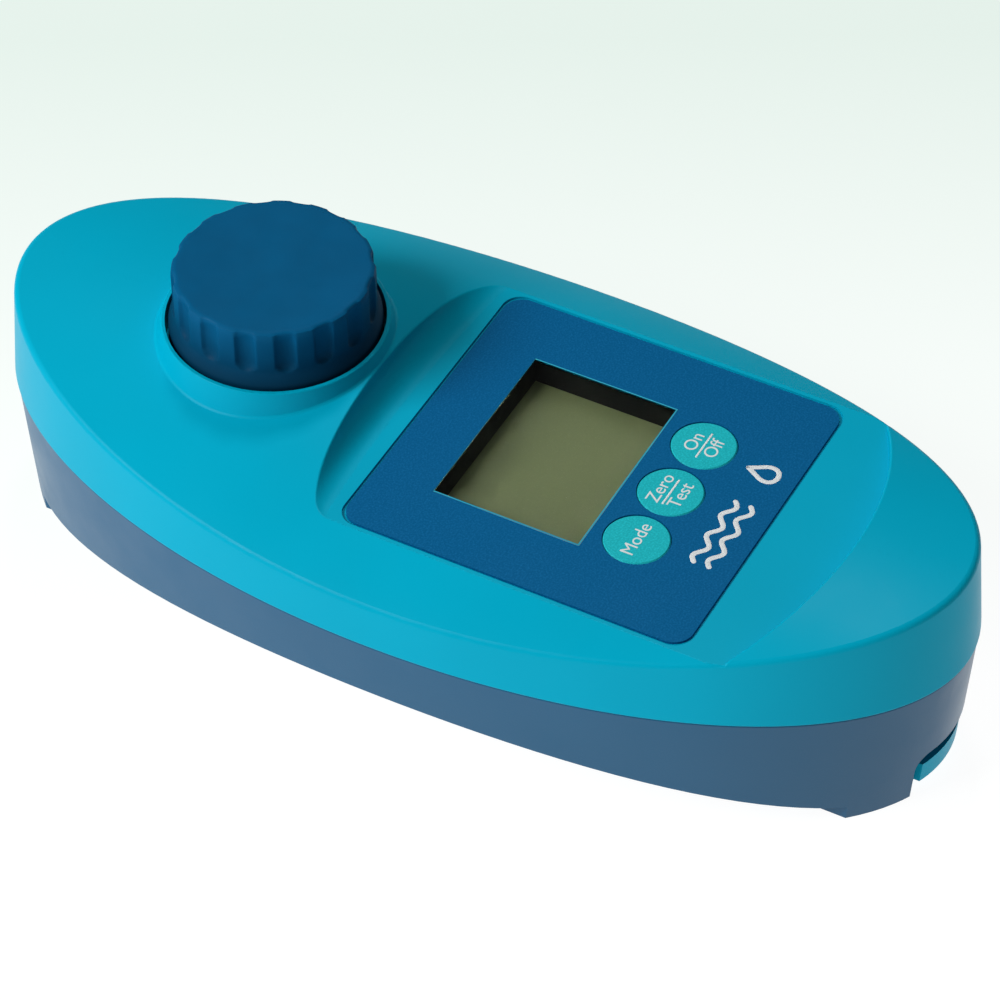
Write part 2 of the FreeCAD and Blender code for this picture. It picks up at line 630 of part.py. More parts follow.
def build_chamber():
    outer = "well_radius + chamber_wall"
    seat = "collar_floor - shell_wall + 0.2"
    gasket = 0.8
    well = [(0, "well_floor - 1.5"), (f"{outer} - 1", "well_floor - 1.5"), (outer, "well_floor - 0.5"),
            (outer, f"{seat} - {gasket} - 1.2"), (16.4, f"{seat} - {gasket} - 1.2"),
            (16.4, f"{seat} - {gasket}"), (outer, f"{seat} - {gasket}"),
            (outer, "collar_floor + 0.6"), ("well_radius", "collar_floor + 0.6"),
            ("well_radius", "well_floor + 1"), ("well_radius - 1", "well_floor"), (0, "well_floor")]
    middle = (0, "chamber_middle", 0)
    piece(turned("SampleChamber", well, middle), "sample_chamber")
    ring = [(f"{outer} + 0.3", f"{seat} - {gasket}"), (16, f"{seat} - {gasket}"), (16, seat),
            (f"{outer} + 0.3", seat)]
    piece(turned("ChamberGasket", ring, middle), "chamber_gasket")

    low, high = 12.5, 21.5
    hub = rod("OpticsHub", f"{outer} + 2.4", (0, "chamber_middle", low), high - low)
    arms = block("OpticsArms", (-23, 23), ("chamber_middle - 4.5", "chamber_middle + 4.5"), (low, high))
    bore = rod("OpticsBore", f"{outer} + 0.05", (0, "chamber_middle", low - 1), high - low + 2)
    tunnels = [rod("SourceTunnelLow", 1.55, (-24, "chamber_middle", 14.9), 16, ALONG_X),
               rod("SourceTunnelHigh", 1.55, (-24, "chamber_middle", 19.1), 16, ALONG_X),
               rod("SensorTunnel", 2.55, (24, "chamber_middle", 17), 16, ALONG_MINUS_X)]
    piece(cut("OpticsHolder", fuse("OpticsSolid", hub, arms), bore, *tunnels), "optics_holder")

    lamp = [(0, 0), (1.9, 0), (1.9, 1), (1.5, 1), (1.5, 4.6), (0.9, 5.5), (0, 5.8)]
    sources = (("green_source", "GreenSource", 14.9), ("amber_source", "AmberSource", 19.1))
    for label, name, level in sources:
        piece(turned(name, lamp, (-24, "chamber_middle", level), ALONG_X), label)
    sensor = [(0, 0), (2.9, 0), (2.9, 1), (2.5, 1), (2.5, 4.2), (0, 4.2)]
    piece(turned("LightSensor", sensor, (24, "chamber_middle", 17), ALONG_MINUS_X), "light_sensor")


# ---------------------------------------------------------------- cap

def build_cap():
    middle = (0, "chamber_middle", 0)
    skirt, roof = "collar_top - cap_skirt", "cap_top - 1.8"
    bore = "cap_radius - cap_wall"
    profile = [
        (0, roof), (bore, roof), (bore, f"{skirt} + 1.05"), (f"{bore} - 0.35", f"{skirt} + 0.85"),
        (f"{bore} - 0.35", f"{skirt} + 0.3"), (bore, f"{skirt} + 0.1"), (bore, skirt),
        ("cap_flare_radius", skirt), ("cap_flare_radius", "collar_top + 0.2"),
        ("cap_flare_radius - 0.35", "collar_top + 1"), ("cap_radius + 0.05", "collar_top + 2"),
        ("cap_radius", "flute_end"), ("cap_radius - 0.15", "cap_top - 0.6"),
        ("cap_radius - 0.65", "cap_top"), (0, "cap_top")]
    body = turned("ChamberCap", profile, middle)
    doc.recompute()
    solid = body.Shape.Volume
    axis_at = "cap_radius + flute_radius - flute_depth"
    shaft = body.newObject("PartDesign::SubtractiveCylinder", "FluteShaft")
    bind(shaft, "Radius", "flute_radius")
    bind(shaft, "Height", "cap_top")
    end = body.newObject("PartDesign::SubtractiveSphere", "FluteEnd")
    bind(end, "Radius", "flute_radius")
    for cutter in (shaft, end):
        place(cutter, (axis_at, 0, "flute_end + flute_radius"))
    doc.recompute()
    around = body.newObject("PartDesign::PolarPattern", "Flutes")
    around.Originals = [shaft, end]
    around.Axis = (next(f for f in body.Origin.OriginFeatures if f.Role == "Z_Axis"), [""])
    around.Angle = 360
    bind(around, "Occurrences", "flute_count")
    body.Tip = around
    doc.recompute()
    if body.Shape.Volume > solid - 20:
        raise RuntimeError("the cap's flutes cut nothing")
    piece(body, "chamber_cap")

    flange = f"{bore} - cap_fit"
    step, neck = f"{bore} - 0.75", "collar_floor + 0.6"
    low = "plug_bottom + 2.6"
    groove = "well_radius - ring_fit - ring_section"
    insert = [
        (0, "plug_bottom"), ("plug_radius - 0.6", "plug_bottom"), ("plug_radius", "plug_bottom + 0.6"),
        ("plug_radius", low), (groove, low), (groove, f"{low} + ring_section + 0.2"),
        ("plug_radius", f"{low} + ring_section + 0.2"), ("plug_radius", neck), (step, neck),
        (step, f"{skirt} + 1.15"), (flange, f"{skirt} + 1.15"), (flange, f"{skirt} + 3.4"),
        (4, f"{skirt} + 3.4"), (4, f"{roof} - 0.3"), (0, f"{roof} - 0.3")]
    piece(turned("CapInsert", insert, middle), "cap_insert")
    ring = doc.addObject("Part::Torus", "CapRing")
    bind(ring, "Radius1", "well_radius - ring_fit - ring_section / 2")
    bind(ring, "Radius2", "ring_section / 2")
    place(ring, (0, "chamber_middle", f"{low} + 0.1 + ring_section / 2"))
    piece(ring, "cap_ring")


# ---------------------------------------------------------------- build, check, write

def check_and_write():
    doc.recompute()
    for thing in doc.Objects:
        if "Invalid" in thing.State or "Error" in thing.State:
            raise RuntimeError(f"{thing.Name} failed: {thing.State}")
    for made in PIECES:
        shape = made.Shape
        if shape.isNull() or not shape.isValid() or shape.Volume <= 0:
            raise RuntimeError(f"{made.Label} has no valid solid")
    os.makedirs("parts", exist_ok=True)
    for made in PIECES:
        made.Shape.exportStep(f"parts/{made.Label}.step")
        print(f"{made.Label}: {len(made.Shape.Solids)} solid(s), {made.Shape.Volume:.0f} mm3")


build_top_cover()
build_base_shell()
build_housing_hardware()
build_battery_door()
build_cells()
build_front_panel()
build_display()
build_board()
build_chamber()
build_cap()
check_and_write()
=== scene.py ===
import math

import bmesh
import bpy
from mathutils import Matrix, Vector


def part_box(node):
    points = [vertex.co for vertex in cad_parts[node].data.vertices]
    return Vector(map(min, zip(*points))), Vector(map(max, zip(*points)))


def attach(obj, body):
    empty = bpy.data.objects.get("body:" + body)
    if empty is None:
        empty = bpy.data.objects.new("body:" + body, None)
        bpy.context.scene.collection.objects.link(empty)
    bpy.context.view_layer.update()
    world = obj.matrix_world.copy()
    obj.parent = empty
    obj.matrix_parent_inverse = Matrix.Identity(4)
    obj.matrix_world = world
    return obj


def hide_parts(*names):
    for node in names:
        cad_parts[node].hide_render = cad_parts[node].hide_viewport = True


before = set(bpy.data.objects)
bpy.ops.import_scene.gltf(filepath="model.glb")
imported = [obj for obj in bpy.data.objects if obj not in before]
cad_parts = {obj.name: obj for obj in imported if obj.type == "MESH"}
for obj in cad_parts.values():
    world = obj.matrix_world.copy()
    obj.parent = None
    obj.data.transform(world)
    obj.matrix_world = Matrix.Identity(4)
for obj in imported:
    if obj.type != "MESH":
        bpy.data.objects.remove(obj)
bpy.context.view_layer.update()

bl_info = {
    "name": "Pool water tester",
    "version": (1, 0, 0),
    "blender": (4, 5, 0),
    "location": "View3D > Sidebar > Water tester",
    "description": "Builds the finish of a hand-held pool water tester round its fixed frame",
    "category": "Object",
}

MM = 0.001


# ---------------------------------------------------------------- places taken from the frame

def node_box(node):
    """Lowest and highest corner of a frame part."""
    low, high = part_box(node)
    return Vector(low), Vector(high)


CAP_LOW, CAP_HIGH = node_box("chamber_cap")
CAP_AXIS = (CAP_LOW + CAP_HIGH) / 2
FOIL_TOP = node_box("front_foil")[1].z
WINDOW_LOW, WINDOW_HIGH = node_box("display_window")
KEY_NODES = ("mode_key", "zero_test_key", "power_key")


# ---------------------------------------------------------------- settings a user would change

class TesterColours(bpy.types.PropertyGroup):
    """Colours as sRGB hex."""
    cover: bpy.props.StringProperty(
        name="Cover", description="Dyed ABS of the top cover and the battery cover", default="#00A9C9")
    base: bpy.props.StringProperty(
        name="Base", description="Dyed ABS of the base shell", default="#0A587F")
    cap: bpy.props.StringProperty(
        name="Cap", description="Dyed polypropylene of the well's cap", default="#015782")
    foil: bpy.props.StringProperty(
        name="Foil", description="Ink behind the front foil", default="#006094")
    key: bpy.props.StringProperty(
        name="Keys", description="Ink on the three keys", default="#1FBCC6")
    mark: bpy.props.StringProperty(
        name="Marks", description="Printed signs on foil and keys", default="#E6E9E9")
    display: bpy.props.StringProperty(
        name="Display", description="Reflector seen through the liquid crystal", default="#8E9669")


class TesterSizes(bpy.types.PropertyGroup):
    """Sizes of the finish, in metres."""
    cap_flutes: bpy.props.IntProperty(
        name="Cap flutes", description="Finger flutes round the cap", default=16, min=6, max=32)
    flute_depth: bpy.props.FloatProperty(
        name="Flute depth", description="How deep a flute is at its middle",
        default=0.75 * MM, unit="LENGTH")
    ink_height: bpy.props.FloatProperty(
        name="Ink height", description="Thickness of a printed sign", default=0.03 * MM, unit="LENGTH")


def colours():
    return bpy.context.scene.tester_colours


def sizes():
    return bpy.context.scene.tester_sizes


# ---------------------------------------------------------------- material helpers

# a Mix node has a set of sockets for each kind of value; these are the places of the colour ones
MIX_A, MIX_B, MIX_RESULT = 6, 7, 2


def linear(code):
    """sRGB hex to the linear colour a shader wants."""
    channels = [int(code[i:i + 2], 16) / 255 for i in (1, 3, 5)]
    return [c / 12.92 if c <= 0.04045 else ((c + 0.055) / 1.055) ** 2.4 for c in channels] + [1.0]


def add_node(tree, kind, settings=None, links=None, **inputs):
    """Adds one shader node, sets its properties and socket values, and links sockets to outputs."""
    made = tree.nodes.new(kind)
    for name, value in (settings or {}).items():
        setattr(made, name, value)
    for name, value in inputs.items():
        made.inputs[name.replace("_", " ")].default_value = value
    for name, output in (links or {}).items():
        tree.links.new(output, made.inputs[name])
    return made


def new_material(name):
    """A material with one Principled shader, and the object's own coordinates."""
    made = bpy.data.materials.new(name)
    made.use_nodes = True
    tree = made.node_tree
    shader = tree.nodes["Principled BSDF"]
    place = add_node(tree, "ShaderNodeTexCoord").outputs["Object"]
    return made, tree, shader, place


def spark_texture(tree, place, grain_mm, depth_mm, strength):
    """The fine dimpled skin of a mould cut by spark erosion, as a normal."""
    grain = add_node(tree, "ShaderNodeTexNoise", links={"Vector": place},
                     Scale=1 / (grain_mm * MM), Detail=3.0, Roughness=0.6)
    bump = add_node(tree, "ShaderNodeBump", links={"Height": grain.outputs["Fac"]},
                    Strength=strength, Distance=depth_mm * MM)
    return bump.outputs["Normal"]


def tinted(tree, place, code, spread, size_mm):
    """A dye that is a little uneven from place to place."""
    cloud = add_node(tree, "ShaderNodeTexNoise", links={"Vector": place},
                     Scale=1 / (size_mm * MM), Detail=2.0)
    ramp = add_node(tree, "ShaderNodeValToRGB", links={"Fac": cloud.outputs["Fac"]})
    base = linear(code)
    ramp.color_ramp.elements[0].position = 0.3
    ramp.color_ramp.elements[1].position = 0.7
    ramp.color_ramp.elements[0].color = [c * (1 - spread) for c in base[:3]] + [1]
    ramp.color_ramp.elements[1].color = [min(1, c * (1 + spread)) for c in base[:3]] + [1]
    return ramp.outputs["Color"]


def uneven_gloss(tree, place, low, high, size_mm):
    """Roughness that drifts with handling and mould wear."""
    drift = add_node(tree, "ShaderNodeTexNoise", links={"Vector": place},
                     Scale=1 / (size_mm * MM), Detail=4.0)
    spread = add_node(tree, "ShaderNodeMapRange", links={"Value": drift.outputs["Fac"]})
    spread.inputs["From Min"].default_value = 0.3
    spread.inputs["From Max"].default_value = 0.7
    spread.inputs["To Min"].default_value = low
    spread.inputs["To Max"].default_value = high
    return spread.outputs["Result"]


# ---------------------------------------------------------------- materials, one for each finish

NICKEL_HEX = "#C9C6BE"


def moulded_abs(name, code, low_gloss, high_gloss, shine):
    """ABS, injection moulded against spark-eroded steel: an even dye, a dull sheen broken by fine grain."""
    made, tree, shader, place = new_material(name)
    tree.links.new(tinted(tree, place, code, 0.03, 30), shader.inputs["Base Color"])
    tree.links.new(uneven_gloss(tree, place, low_gloss, high_gloss, 9), shader.inputs["Roughness"])
    # real erosion grain is about 0.05 mm; it is drawn at 0.3 mm so that it shows
    tree.links.new(spark_texture(tree, place, 0.3, 0.02, 0.5), shader.inputs["Normal"])
    shader.inputs["IOR"].default_value = 1.53
    shader.inputs["Specular IOR Level"].default_value = shine
    return made


def moulded_polypropylene(name, code):
    """Polypropylene, moulded with a matt grain: waxy, with painted shade that darkens it towards the foot,
    where the recess round the cap shades the flutes.
    """
    # painted shade: the dye is darkened from just under the top down to the foot, standing in for the shade
    # of the recess round the cap
    shade_fullest_below, shade_ends_above, shaded_share = CAP_LOW.z + 3 * MM, CAP_HIGH.z - 0.3 * MM, 0.3
    made, tree, shader, place = new_material(name)
    split = add_node(tree, "ShaderNodeSeparateXYZ", links={"Vector": place})
    height = add_node(tree, "ShaderNodeMapRange", links={"Value": split.outputs["Z"]})
    height.inputs["From Min"].default_value = shade_fullest_below
    height.inputs["From Max"].default_value = shade_ends_above
    height.inputs["To Min"].default_value = shaded_share
    # painted shade: multiplies the dye darker towards the foot
    painted_shade = add_node(tree, "ShaderNodeMix", {"data_type": "RGBA", "blend_type": "MULTIPLY"},
                    {MIX_A: tinted(tree, place, code, 0.05, 6), MIX_B: height.outputs["Result"]})
    painted_shade.inputs["Factor"].default_value = 1.0
    tree.links.new(painted_shade.outputs[MIX_RESULT], shader.inputs["Base Color"])
    tree.links.new(uneven_gloss(tree, place, 0.48, 0.6, 5), shader.inputs["Roughness"])
    # the grain is coarser than on the shells, and is drawn at 0.35 mm so that it shows
    tree.links.new(spark_texture(tree, place, 0.35, 0.03, 0.6), shader.inputs["Normal"])
    shader.inputs["IOR"].default_value = 1.49
    shader.inputs["Specular IOR Level"].default_value = 0.06
    return made


def printed_polyester(name, code):
    """Polyester foil printed on its back, with a fine grained face that sparkles faintly."""
    grain_mm, dark_share, bright_share = 0.28, 0.9, 1.18
    made, tree, shader, place = new_material(name)
    grain = add_node(tree, "ShaderNodeTexNoise", links={"Vector": place},
                     Scale=1 / (grain_mm * MM), Detail=2.0)
    fleck = add_node(tree, "ShaderNodeValToRGB", links={"Fac": grain.outputs["Fac"]})
    base = linear(code)
    fleck.color_ramp.elements[0].position = 0.42
    fleck.color_ramp.elements[0].color = [c * dark_share for c in base[:3]] + [1]
    fleck.color_ramp.elements[1].position = 0.72
    fleck.color_ramp.elements[1].color = [min(1, c * bright_share + 0.004) for c in base[:3]] + [1]
    tree.links.new(fleck.outputs["Color"], shader.inputs["Base Color"])
    tree.links.new(uneven_gloss(tree, place, 0.38, 0.5, 12), shader.inputs["Roughness"])
    tree.links.new(spark_texture(tree, place, grain_mm, 0.02, 0.45), shader.inputs["Normal"])
    shader.inputs["IOR"].default_value = 1.57
    shader.inputs["Specular IOR Level"].default_value = 0.03
    return made


def screen_ink(name, code):
    """Opaque screen ink: flat, dry and very slightly uneven."""
    made, tree, shader, place = new_material(name)
    tree.links.new(tinted(tree, place, code, 0.04, 0.8), shader.inputs["Base Color"])
    tree.links.new(uneven_gloss(tree, place, 0.5, 0.62, 2), shader.inputs["Roughness"])
    return made


def clear_polycarbonate(name):
    """Clear polycarbonate sheet, hard coated: sharp reflections and faint dust."""
    made, tree, shader, place = new_material(name)
    shader.inputs["Transmission Weight"].default_value = 1.0
    shader.inputs["IOR"].default_value = 1.2
    shader.inputs["Base Color"].default_value = linear("#F4F8F4")
    dust = add_node(tree, "ShaderNodeTexNoise", links={"Vector": place}, Scale=1 / (1.4 * MM), Detail=8.0)
    spread = add_node(tree, "ShaderNodeMapRange", links={"Value": dust.outputs["Fac"]})
    spread.inputs["From Min"].default_value = 0.62
    spread.inputs["From Max"].default_value = 0.8
    spread.inputs["To Min"].default_value = 0.02
    spread.inputs["To Max"].default_value = 0.25
    tree.links.new(spread.outputs["Result"], shader.inputs["Roughness"])
    return made


def liquid_crystal(name, code):
    """Reflective liquid crystal glass: a smooth, thinly coated face over a grey-green reflector."""
    made, tree, shader, place = new_material(name)
    tree.links.new(tinted(tree, place, code, 0.025, 0.35), shader.inputs["Base Color"])
    shader.inputs["Roughness"].default_value = 0.28
    shader.inputs["Coat Weight"].default_value = 0.25
    shader.inputs["Coat Roughness"].default_value = 0.12
    shader.inputs["IOR"].default_value = 1.5
    return made


def dark_polycarbonate(name, code="#060809"):
    """Black filled polycarbonate with a light mould grain."""
    made, tree, shader, place = new_material(name)
    tree.links.new(tinted(tree, place, code, 0.1, 4), shader.inputs["Base Color"])
    tree.links.new(uneven_gloss(tree, place, 0.45, 0.6, 4), shader.inputs["Roughness"])
    tree.links.new(spark_texture(tree, place, 0.3, 0.02, 0.4), shader.inputs["Normal"])
    shader.inputs["Specular IOR Level"].default_value = 0.2
    return made


def moulded_rubber(name, code):
    """Nitrile or silicone rubber: dull, with a soft broad highlight and flow marks."""
    made, tree, shader, place = new_material(name)
    tree.links.new(tinted(tree, place, code, 0.12, 3), shader.inputs["Base Color"])
    tree.links.new(uneven_gloss(tree, place, 0.55, 0.75, 2), shader.inputs["Roughness"])
    shader.inputs["Sheen Weight"].default_value = 0.15
    return made


def plated_steel(name, code, low_gloss, high_gloss):
    """Zinc or nickel plated steel: bright with fine tumbling scratches."""
    made, tree, shader, place = new_material(name)
    shader.inputs["Metallic"].default_value = 1.0
    tree.links.new(tinted(tree, place, code, 0.08, 1.5), shader.inputs["Base Color"])
    tree.links.new(uneven_gloss(tree, place, low_gloss, high_gloss, 0.6), shader.inputs["Roughness"])
    scratch = add_node(tree, "ShaderNodeTexNoise", links={"Vector": place}, Scale=1 / (0.15 * MM), Detail=2.0)
    bump = add_node(tree, "ShaderNodeBump", links={"Height": scratch.outputs["Fac"]},
                    Strength=0.2, Distance=0.01 * MM)
    tree.links.new(bump.outputs["Normal"], shader.inputs["Normal"])
    return made


def solder_mask(name, code):
    """Green solder mask over copper tracks: glossy, with the tracks standing slightly proud and paler."""
    made, tree, shader, place = new_material(name)
    track_pitch = 2.54 * MM
    tracks = add_node(tree, "ShaderNodeTexBrick", {"offset": 0.5}, {"Vector": place},
                      Scale=1 / track_pitch, Mortar_Size=0.06, Brick_Width=1.6, Row_Height=0.5)
    base = linear(code)
    tracks.inputs["Color1"].default_value = base
    tracks.inputs["Color2"].default_value = [c * 0.9 for c in base[:3]] + [1]
    tracks.inputs["Mortar"].default_value = [min(1, c * 1.7) for c in base[:3]] + [1]
    tree.links.new(tracks.outputs["Color"], shader.inputs["Base Color"])
    bump = add_node(tree, "ShaderNodeBump", links={"Height": tracks.outputs["Fac"]},
                    Strength=0.4, Distance=0.03 * MM)
    tree.links.new(bump.outputs["Normal"], shader.inputs["Normal"])
    shader.inputs["Roughness"].default_value = 0.25
    return made


def tinted_epoxy(name, code, clear):
    """Cast epoxy lamp body: glossy and tinted, light goes partly through it."""
    made, tree, shader, place = new_material(name)
    tree.links.new(tinted(tree, place, code, 0.06, 2), shader.inputs["Base Color"])
    shader.inputs["Transmission Weight"].default_value = clear
    shader.inputs["Roughness"].default_value = 0.12
    shader.inputs["IOR"].default_value = 1.55
    return made


def polished_acrylic(name):
    """Clear acrylic, moulded and polished inside: faintly blue, with fine swirl marks from wiping."""
    made, tree, shader, place = new_material(name)
    shader.inputs["Base Color"].default_value = linear("#DCE9EE")
    shader.inputs["Transmission Weight"].default_value = 0.7
    shader.inputs["IOR"].default_value = 1.49
    tree.links.new(uneven_gloss(tree, place, 0.08, 0.3, 1.2), shader.inputs["Roughness"])
    return made


def cell_jacket(name, node, code, band):
    """Printed film shrunk on a steel can: glossy, with a band of a second colour at one end."""
    band_from, band_blend, bare_end = -30 * MM, 0.3 * MM, 1.0 * MM
    made, tree, shader, place = new_material(name)
    split = add_node(tree, "ShaderNodeSeparateXYZ", links={"Vector": place})
    ramp = add_node(tree, "ShaderNodeMapRange", links={"Value": split.outputs["Y"]})
    ramp.inputs["From Min"].default_value = band_from
    ramp.inputs["From Max"].default_value = band_from + band_blend
    mix = add_node(tree, "ShaderNodeMix", {"data_type": "RGBA"}, {"Factor": ramp.outputs["Result"]})
    mix.inputs[MIX_A].default_value = linear(code)
    mix.inputs[MIX_B].default_value = linear(band)
    # the can's two ends are bare nickel
    low, high = node_box(node)
    off = add_node(tree, "ShaderNodeMath", {"operation": "SUBTRACT"}, {0: split.outputs["Y"]})
    off.inputs[1].default_value = (low.y + high.y) / 2
    away = add_node(tree, "ShaderNodeMath", {"operation": "ABSOLUTE"}, {0: off.outputs["Value"]})
    bare = add_node(tree, "ShaderNodeMath", {"operation": "GREATER_THAN"}, {0: away.outputs["Value"]})
    bare.inputs[1].default_value = (high.y - low.y) / 2 - bare_end
    ends = add_node(tree, "ShaderNodeMix", {"data_type": "RGBA"}, {"Factor": bare.outputs["Value"]})
    ends.inputs[MIX_B].default_value = linear(NICKEL_HEX)
    tree.links.new(mix.outputs[MIX_RESULT], ends.inputs[MIX_A])
    tree.links.new(ends.outputs[MIX_RESULT], shader.inputs["Base Color"])
    tree.links.new(bare.outputs["Value"], shader.inputs["Metallic"])
    tree.links.new(uneven_gloss(tree, place, 0.18, 0.3, 5), shader.inputs["Roughness"])
    return made


# ---------------------------------------------------------------- stage

class TesterStage(bpy.types.PropertyGroup):
    """Camera and lights, in metres and radians."""
    camera_place: bpy.props.FloatVectorProperty(
        name="Camera", description="Where the camera stands", default=(-0.40407, -0.22179, 0.47672),
        size=3, unit="LENGTH", subtype="TRANSLATION")
    heading: bpy.props.FloatProperty(
        name="Heading", description="Turn of the view from +Y towards +X",
        default=math.radians(61.53), unit="ROTATION")
    tilt: bpy.props.FloatProperty(
        name="Tilt", description="How far the view looks down", default=math.radians(44.85), unit="ROTATION")
    roll: bpy.props.FloatProperty(
        name="Roll", description="Turn about the line of sight", default=math.radians(-0.48), unit="ROTATION")
    lens: bpy.props.FloatProperty(name="Lens", description="Focal length in millimetres", default=159.3)


def lit_table(name, heading):
    """Opal acrylic lit from below: it glows, whitest on the near side and a little green further off."""
    whitest_at, greenest_at = -20 * MM, 130 * MM
    made, tree, shader, place = new_material(name)
    along = add_node(tree, "ShaderNodeVectorMath", {"operation": "DOT_PRODUCT"}, {0: place})
    along.inputs[1].default_value = (math.sin(heading), math.cos(heading), 0)
    ramp = add_node(tree, "ShaderNodeMapRange", links={"Value": along.outputs["Value"]})
    ramp.inputs["From Min"].default_value = whitest_at
    ramp.inputs["From Max"].default_value = greenest_at
    glow = add_node(tree, "ShaderNodeMix", {"data_type": "RGBA"}, {"Factor": ramp.outputs["Result"]})
    glow.inputs[MIX_A].default_value = linear("#FAFAFA")
    glow.inputs[MIX_B].default_value = linear("#DAE6DF")
    tree.links.new(glow.outputs[MIX_RESULT], shader.inputs["Emission Color"])
    shader.inputs["Base Color"].default_value = linear("#5E6261")
    shader.inputs["Emission Strength"].default_value = 1.0
    shader.inputs["Roughness"].default_value = 0.7
    shader.inputs["Specular IOR Level"].default_value = 0.1
    return made


def soft_box(name, place, aim, width, height, power):
    """A rectangular white studio light that looks at a point, in metres and watts."""
    data = bpy.data.lights.new(name, "AREA")
    data.shape = "RECTANGLE"
    data.size, data.size_y = width, height
    data.energy = power
    lamp = bpy.data.objects.new(name, data)
    bpy.context.scene.collection.objects.link(lamp)
    lamp.location = place
    lamp.rotation_euler = (Vector(aim) - Vector(place)).to_track_quat("-Z", "Y").to_euler()


class TESTER_OT_stage(bpy.types.Operator):
    """Table, soft boxes, pale surroundings and the camera"""
    bl_idname = "tester.stage"
    bl_label = "Stage"

    def execute(self, context):
        deselect()
        bpy.ops.mesh.primitive_grid_add(x_subdivisions=8, y_subdivisions=8, size=6)
        table = context.object
        table.name = "table"
        settings = context.scene.tester_stage
        table.data.materials.append(lit_table("Lit opal table", settings.heading))

        # the large box lights the whole tester; the small one is mirrored in the crown's near end
        soft_box("key_box", place=(-0.62, 0.56, 0.72), aim=(0, 0, 0.02),
                 width=0.5, height=0.4, power=10.4)
        soft_box("top_box", place=(0.345, 0.155, 0.77), aim=(0, -0.05, 0.03),
                 width=0.12, height=0.12, power=1.5)

        world = bpy.data.worlds.new("Pale room")
        world.use_nodes = True
        back = world.node_tree.nodes["Background"]
        back.inputs["Color"].default_value = linear("#F4FAF7")
        back.inputs["Strength"].default_value = 0.1
        context.scene.world = world
        context.scene.view_settings.view_transform = "Standard"

        sin_h, cos_h = math.sin(settings.heading), math.cos(settings.heading)
        ahead = Vector((sin_h * math.cos(settings.tilt), cos_h * math.cos(settings.tilt),
                        -math.sin(settings.tilt)))
        right = Vector((cos_h, -sin_h, 0))
        up = right.cross(ahead)
        turn = Matrix.Rotation(settings.roll, 3, -ahead)
        frame_axes = Matrix((turn @ right, turn @ up, -ahead)).transposed()
        data = bpy.data.cameras.new("camera")
        data.lens = settings.lens
        data.sensor_width = 36
        data.clip_start = 0.01
        camera = bpy.data.objects.new("camera", data)
        context.scene.collection.objects.link(camera)
        camera.matrix_world = Matrix.Translation(Vector(settings.camera_place)) @ frame_axes.to_4x4()
        context.scene.camera = camera
        return {"FINISHED"}


# ---------------------------------------------------------------- finish of the frame's own parts

def deselect():
    """Clears the selection, so that an operator acts only on what is chosen next."""
    if bpy.context.object and bpy.context.object.mode != "OBJECT":
        bpy.ops.object.mode_set(mode="OBJECT")
    bpy.ops.object.select_all(action="DESELECT")


def finish_node(node, material):
    """Puts a material in every slot of a frame part."""
    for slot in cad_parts[node].material_slots:
        slot.material = material


class TESTER_OT_frame_finishes(bpy.types.Operator):
    """Real finishes for the parts that keep their own shape"""
    bl_idname = "tester.frame_finishes"
    bl_label = "Frame finishes"

    def execute(self, context):
        hues = colours()
        cover = moulded_abs("Spark-eroded ABS, turquoise", hues.cover, 0.32, 0.38, 0.04)
        rubber = moulded_rubber("Nitrile rubber, black", "#0A0B0C")
        zinc = plated_steel("Zinc plated steel", "#B9BBBB", 0.22, 0.4)
        nickel = plated_steel("Nickel plated spring steel", NICKEL_HEX, 0.15, 0.3)
        black = dark_polycarbonate("Black filled polycarbonate")
        epoxy = dark_polycarbonate("Black moulding epoxy", "#101113")
        finishes = {
            "top_cover": cover,
            "battery_cover": cover,
            "base_shell": moulded_abs("Spark-eroded ABS, navy", hues.base, 0.3, 0.4, 0.3),
            "chamber_cap": moulded_polypropylene("Grained polypropylene, navy", hues.cap),
            "cap_insert": dark_polycarbonate("Smooth black polypropylene", "#0D0F12"),
            "cap_ring": rubber,
            "front_foil": printed_polyester("Printed polyester foil", hues.foil),
            "display_window": clear_polycarbonate("Hard coated clear polycarbonate"),
            "display_glass": liquid_crystal("Liquid crystal glass", hues.display),
            "display_frame": black,
            "optics_holder": black,
            "housing_seal": rubber,
            "battery_seal": rubber,
            "chamber_gasket": rubber,
            "conductive_strips": moulded_rubber("Layered conductive silicone", "#4A4D50"),
            "housing_screws": zinc,
            "battery_cover_screws": zinc,
            "board_screws": zinc,
            "key_switches": nickel,
            "contact_plates": nickel,
            "cell_springs": nickel,
            "main_board": solder_mask("Solder mask on glass fibre board", "#0E5A34"),
            "controller_chip": epoxy,
            "board_components": epoxy,
            "battery_connector": screen_ink("White nylon", "#E4E1D8"),
            "rating_plate": screen_ink("Blank silver polyester plate", "#B9BDBF"),
            "sample_chamber": polished_acrylic("Polished clear acrylic"),
            "green_source": tinted_epoxy("Green cast epoxy", "#4FC26B", 0.5),
            "amber_source": tinted_epoxy("Amber cast epoxy", "#E9A02E", 0.5),
            "light_sensor": tinted_epoxy("Dark cast epoxy", "#15121A", 0.1),
            "left_cell": cell_jacket("Cell jacket, left", "left_cell", "#2A2C30", "#C9A24A"),
            "right_cell": cell_jacket("Cell jacket, right", "right_cell", "#C9A24A", "#2A2C30"),
        }
        for key in KEY_NODES:
            finishes[key] = printed_polyester("Printed polyester, turquoise", hues.key)
        for node, material in finishes.items():
            finish_node(node, material)
        return {"FINISHED"}


# ---------------------------------------------------------------- modelling helpers

